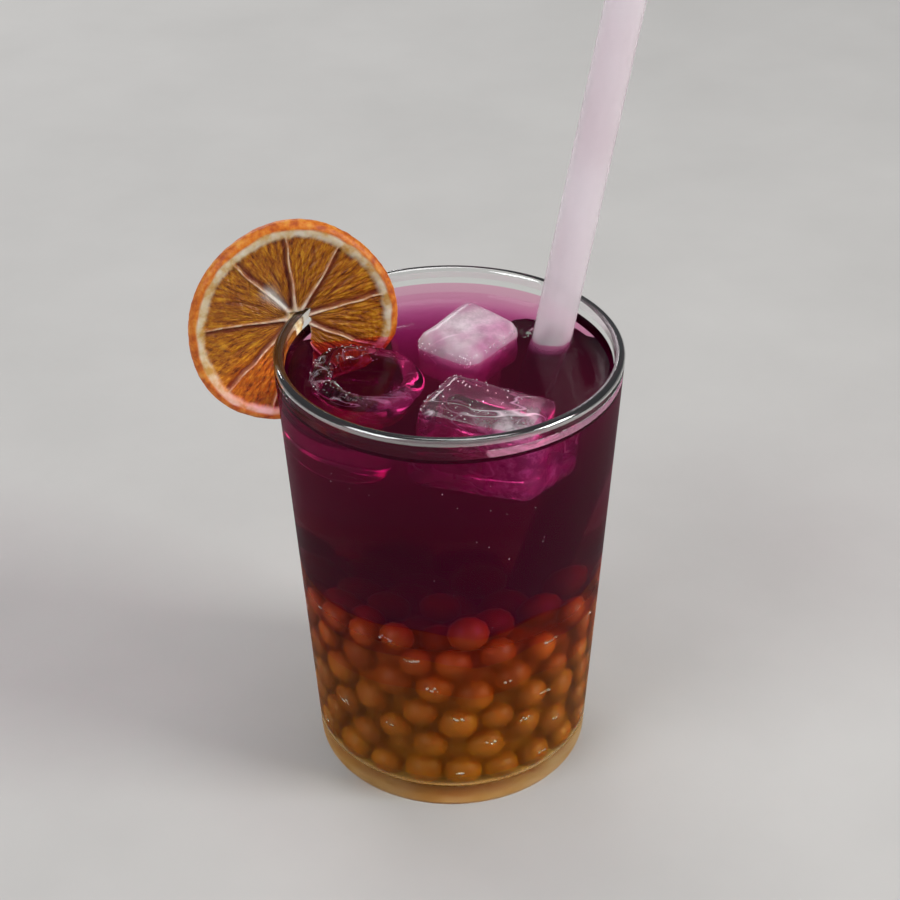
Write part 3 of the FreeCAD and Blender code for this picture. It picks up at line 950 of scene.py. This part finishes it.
def addStraw():
    finish = Finish("frostedPinkPlastic")
    frost = finish.noise(900.0, 3.0)
    streaks = finish.noise(24.0, 2.0)
    colour = finish.ramp(streaks, [(0.35, paint(235, 226, 230)), (0.65, paint(242, 237, 240))])
    # below the drink's level the straw is painted dark purple: painted shade, standing in for the dark drink
    # seen in and around it
    sunk = finish.between(finish.height(), drinkLevel - 4 * mm, drinkLevel + 0.5 * mm)
    colour = finish.blend(sunk, paint(96, 52, 74), colour)
    shader = finish.principled({
        "Base Color": colour, "Roughness": 0.26, "IOR": 1.25,
        "Normal": finish.bump(frost, 0.12, 0.1 * mm), "Transmission Weight": 0.7})
    finish.surface(shader, (0.80, 0.76, 0.78, 1.0))
    radius, soft, half = strawSize["radius"], strawSize["soft"], strawHalf
    bore = radius - strawSize["wall"]
    profile = arc((radius - soft, -half + soft), soft, -90, 0, 4)
    profile += straight((radius, -half + soft), (radius, half - soft), 0.6 * mm, 10)
    profile += arc((radius - soft, half - soft), soft, 0, 90, 4)
    profile += arc((bore + soft, half - soft), soft, 90, 180, 4)
    profile += straight((bore, half - soft), (bore, -half + soft), 0.6 * mm, 10)
    profile += arc((bore + soft, -half + soft), soft, 180, 270, 4)
    profile.append(profile[0])
    piece = turned("strawTube", profile, strawSize["segments"], finish.material)
    pointOutwards(piece.data, mergeWithin=1e-7)
    turn = Vector((0, 0, 1)).rotation_difference(strawAlong).to_matrix().to_4x4()
    piece.data.transform(Matrix.Translation(strawMiddle) @ turn)
    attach(piece, "root")
    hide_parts("straw")


addStraw()
print("straw done")


# dried orange slice

orange = {
    "radius": 26.6 * mm,
    "waves": [(2, 0.017, 40), (3, 0.012, 100), (5, 0.006, 10)],   # count, share, degrees
    "walls": [10, 55, 92, 133, 180, 222, 252, 292, 330],          # degrees
    "halfThick": 2.1 * mm,
    "edge": 1.3 * mm,
    "peel": 1.9 * mm,
    "rim": 3.8 * mm,        # peel and pith together
    "tears": [(32, 9, 19), (74, 12, 21), (112, 7, 16), (156, 8, 19), (202, 10, 20), (238, 6, 17),
              (272, 9, 21), (312, 8, 18), (351, 7, 17)],   # degrees, from and to, mm off the core
    "gap": (131, 9),        # where two segments have parted, and how widely, in degrees
    "core": (0.9 * mm, 1.5 * mm),
    "sink": 0.8 * mm,
    "turn": 13.5,           # degrees about the upright, then leaning back
    "lean": 8.0,
    "around": 430,          # points of the mesh
    "across": 52,
    "crowding": 1.25,       # above 1, its rings lie closer towards the rind
    "belt": (0.62, 0.3, 0.0, -0.3, -0.62),     # its rings on the rind, in half thicknesses
    "seed": 5.0,
    "slit": {"azimuth": 155.2, "gap": 0.3 * mm, "spare": 0.8 * mm, "length": 42 * mm, "depth": 35.1 * mm},
}
orangeParts = ("peel", "pulp", "wall", "groove", "white")     # attributes that its finish reads


def orangeOutline(azimuth):
    return orange["radius"] * (1 + sum(share * math.cos(math.radians(count * (azimuth - shift)))
                                       for count, share, shift in orange["waves"]))


def orangePlace():
    # the face is turned by "turn" and leans back; its middle lies where its box says
    turn = Matrix.Rotation(math.radians(orange["turn"]), 3, "Z")
    turn = turn @ Matrix.Rotation(math.radians(90 - orange["lean"]), 3, "X")
    half = orange["halfThick"]
    outline = [turn @ polar(orangeOutline(azimuth), math.radians(azimuth), side)
               for azimuth in range(360) for side in (-half, half)]
    low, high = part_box("orange_slice")
    middle = Vector((low[k] + high[k] - min(p[k] for p in outline) - max(p[k] for p in outline)) / 2
                    for k in range(3))
    return Matrix.Translation(middle) @ turn.to_4x4()


def wrapped(degrees):
    return (degrees + 180) % 360 - 180


def segmentsAt(heading, far):
    # the skins between segments, the grooves along them and the number of the segment
    wall, groove, segment = 0.0, 0.0, 0
    for number, place in enumerate(orange["walls"]):
        bend = 2.4 * noise.noise(Vector((far * 160, number * 7.7, 1.0)))
        offset = wrapped(heading - place - bend)
        side = math.radians(offset) * far
        width = (0.26 + 0.55 * math.exp(-far / (4.0 * mm))) * mm
        wall = max(wall, math.exp(-(side / width) ** 2))
        beside = (side + 0.85 * mm * (1 if number % 2 else -1)) / (0.7 * mm)
        groove = max(groove, math.exp(-beside ** 2))
        if offset > 0:
            segment = number
    return wall, groove, segment


def tearsAt(heading, far):
    deepest = 0.0
    for number, (place, start, end) in enumerate(orange["tears"]):
        bend = 7 * noise.noise(Vector((far * 90, number * 3.3, 5.0)))
        side = math.radians(wrapped(heading - place - bend)) * far
        length = ease(start * mm, (start + 3) * mm, far) * ease(end * mm, (end - 3) * mm, far)
        deepest = max(deepest, 0.8 * length * math.exp(-(side / (0.42 * mm)) ** 2))
    return deepest


def orangeRelief(azimuth, share):
    # height of the dried face above its middle plane, and what the place is made of
    outline = orangeOutline(azimuth)
    reach = outline * share
    spot = polar(reach, math.radians(azimuth))
    seed = Vector((0, 0, orange["seed"]))
    fromCore = spot - Vector((*orange["core"], 0))
    far = fromCore.length
    heading = math.degrees(math.atan2(fromCore.y, fromCore.x)) % 360
    inward = outline - reach
    wander = noise.noise(spot * 210 + seed)
    inner = orange["rim"] * (1 + 0.22 * noise.noise(Vector((azimuth * 0.045, 0, 3.1)) + seed)
                             + 0.10 * noise.noise(Vector((azimuth * 0.21, 0, 9.0))))
    pulp = ease(inner - 0.5 * mm, inner + 0.7 * mm, inward) * ease(1.6 * mm, 3.4 * mm, far)
    wall, groove, segment = segmentsAt(heading, far)
    groove = max(groove, tearsAt(heading, far))
    parted, width = orange["gap"]
    gap = math.exp(-((heading - parted) / width) ** 2)
    gap *= ease(2.0 * mm, 4.5 * mm, far) * ease(13 * mm, 9 * mm, far)
    cells = math.sin(heading * 1.9 + 5 * noise.noise(spot * 330 + seed)) * noise.noise(spot * 420 - seed)
    fibres = noise.noise(Vector((heading * 0.24 * (far / (14 * mm)) ** 0.5 * 3.0, far * 240, segment * 3.7)))
    sunk = orange["sink"] * pulp * (1 - 0.75 * wall) * (1 + 0.35 * wander)
    height = orange["halfThick"] - sunk - 0.34 * mm * groove * pulp * (1 - wall)
    height += pulp * (1 - wall) * (0.42 * fibres + 0.2 * cells) * mm
    height += (1 - pulp) * 0.12 * mm * noise.noise(spot * 700 + seed)
    height -= 0.25 * mm * ease(0.4 * mm, 2.2 * mm, inward - orange["peel"]) * (1 - pulp)
    height -= 0.5 * mm * gap
    ragged = inward + 0.35 * mm * noise.noise(spot * 260)
    peel = 1 - ease(orange["peel"] * 0.85, orange["peel"] * 1.15, ragged)
    white = max(gap, 0.75 * wall * math.exp(-far / (6 * mm)))
    return height, (peel, pulp, wall, groove * pulp, white), (heading * 0.07, far / mm, segment * 5.0)


def warp(point):
    # a dried slice is not quite flat
    azimuth = math.atan2(point.y, point.x)
    reach = math.hypot(point.x, point.y) / orange["radius"]
    return 0.35 * mm * reach ** 2 * math.cos(2 * azimuth + 0.6)


def addOrange():
    around, across = orange["around"], orange["across"]
    edge = orange["edge"]
    vertices, masks, grains, faces = [], [], [], []
    azimuths = [360 * step / around for step in range(around)]
    shares = [1 - (1 - step / across) ** orange["crowding"] for step in range(1, across + 1)]

    def put(point, mask, grain):
        vertices.append(point + Vector((0, 0, warp(point))))
        masks.append(mask)
        grains.append(grain)
        return len(vertices) - 1

    rings = []
    for side in (1, -1):
        height, mask, grain = orangeRelief(0, 0)
        loops = [put(Vector((0, 0, side * height)), mask, grain)]
        for share in shares:
            loop = []
            for azimuth in azimuths:
                flat = orangeOutline(azimuth) - edge * 0.6
                height, mask, grain = orangeRelief(azimuth, share * flat / orangeOutline(azimuth))
                last = (1 - share) * flat
                height -= 0.45 * mm * max(0, 1 - last / (1.2 * mm)) ** 2
                point = polar(flat * share, math.radians(azimuth), side * height)
                loop.append(put(point, mask, grain))
            loops.append(loop)
        rings.append(loops)
    # the rind's outer side
    belt = []
    for level in orange["belt"]:
        loop = []
        for azimuth in azimuths:
            angle = math.radians(azimuth)
            bulge = edge * 0.6 * (1 - (abs(level) / 0.9) ** 2.4)
            dent = 0.12 * mm * noise.noise(Vector((math.cos(angle) * 18, math.sin(angle) * 18, level * 3)))
            reach = orangeOutline(azimuth) - edge * 0.6 + bulge + dent
            point = polar(reach, angle, level * orange["halfThick"])
            loop.append(put(point, (1.0, 0, 0, 0, 0), (azimuth * 0.07, reach / mm, 0)))
        belt.append(loop)

    def join(first, second):
        for step, after in neighbours(around):
            faces.append((first[step], first[after], second[after], second[step]))

    for loops, upper in zip(rings, (True, False)):
        for step, after in neighbours(around):
            triangle = (loops[0], loops[1][step], loops[1][after])
            faces.append(triangle if upper else triangle[::-1])
        for inner, outer in zip(loops[1:], loops[2:]):
            join(*((outer, inner) if upper else (inner, outer)))
    chain = [rings[0][-1]] + belt + [rings[1][-1]]
    for first, second in zip(chain, chain[1:]):
        join(second, first)

    piece = meshPiece("orangeSlice", vertices, faces, orangeFinish())
    for column, name in enumerate(orangeParts):
        layer = piece.data.attributes.new(name, "FLOAT", "POINT")
        layer.data.foreach_set("value", [mask[column] for mask in masks])
    layer = piece.data.attributes.new("grain", "FLOAT_VECTOR", "POINT")
    layer.data.foreach_set("vector", [level for grain in grains for level in grain])
    piece.data.transform(orangePlace())
    slit = slitCutter()
    cut(piece, slit)
    discard(slit)
    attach(piece, "root")
    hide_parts("orange_slice")


def slitCutter():
    # a slab along the side of the glass, a little thicker than it, from the rim down
    slit = orange["slit"]
    azimuth, gap, depth = math.radians(slit["azimuth"]), slit["gap"], slit["depth"]
    width = tumbler["wall"] + 2 * gap + slit["spare"]
    build = bmesh.new()
    bmesh.ops.create_cube(build, size=1.0)
    bmesh.ops.scale(build, vec=(width, slit["length"], depth), verts=build.verts)
    bmesh.ops.translate(build, vec=(-width / 2, 0, -depth / 2), verts=build.verts)
    mesh = meshFrom(build, "slit")
    mouth = polar(tumbler["rim"] + gap, azimuth, tumbler["height"] + gap)
    turn = Matrix.Rotation(azimuth, 4, "Z") @ Matrix.Rotation(taper, 4, "Y")
    mesh.transform(Matrix.Translation(mouth) @ turn)
    return addObject("slit", mesh)


def orangeFinish():
    finish = Finish("driedOrange")
    grain = finish.take("Attribute", "Vector", {"attribute_name": "grain"})
    peel, pulp, wall, groove, pale = (finish.take("Attribute", "Fac", {"attribute_name": name})
                                      for name in orangeParts)
    stretched = finish.take("Mapping", 0, None, {"Vector": grain, "Scale": (4.6, 0.27, 1.0)})
    streak = finish.noise(1.0, 4.0, 0.65, stretched)
    fine = finish.noise(3.4, 3.0, 0.6, stretched)
    mottle = finish.noise(420.0, 3.0)
    broad = finish.noise(110.0, 2.0)
    flesh = finish.ramp(streak, [
        (0.34, paint(96, 36, 6)), (0.44, paint(158, 84, 10)),
        (0.54, paint(184, 112, 10)), (0.66, paint(216, 152, 34))])
    flesh = finish.blend(finish.between(fine, 0.52, 0.76, 0.0, 0.5), flesh, paint(222, 166, 56))
    flesh = finish.blend(finish.between(broad, 0.5, 0.72, 0.0, 0.5), flesh, paint(146, 74, 20))
    flesh = finish.blend(groove * 0.85, flesh, paint(112, 34, 18))
    membrane = finish.blend(finish.between(mottle, 0.42, 0.6), paint(206, 140, 96), paint(236, 206, 170))
    flesh = finish.blend(finish.between(wall, 0.35, 0.8), flesh, membrane)
    pith = finish.ramp(finish.noise(260.0, 3.0), [
        (0.35, paint(208, 160, 84)), (0.48, paint(226, 202, 158)), (0.68, paint(240, 230, 208))])
    rind = finish.ramp(mottle, [
        (0.34, paint(186, 80, 10)), (0.5, paint(222, 118, 22)), (0.7, paint(240, 160, 60))])
    colour = finish.blend(pulp, pith, flesh)
    colour = finish.blend(pale, colour, paint(240, 234, 224))
    colour = finish.blend(peel, colour, rind)
    bump = finish.bump((fine * 0.6 + streak) * pulp + mottle * peel, 0.55, 0.35 * mm)
    shader = finish.principled({
        "Base Color": colour, "Roughness": finish.between(peel, 0, 1, 0.42, 0.5), "Normal": bump,
        "Subsurface Weight": 0.12, "Subsurface Radius": (1.0, 0.5, 0.2), "Subsurface Scale": 1.2 * mm,
        "Specular IOR Level": 0.45})
    finish.surface(shader)
    return finish.material


addOrange()
print("orange slice done")
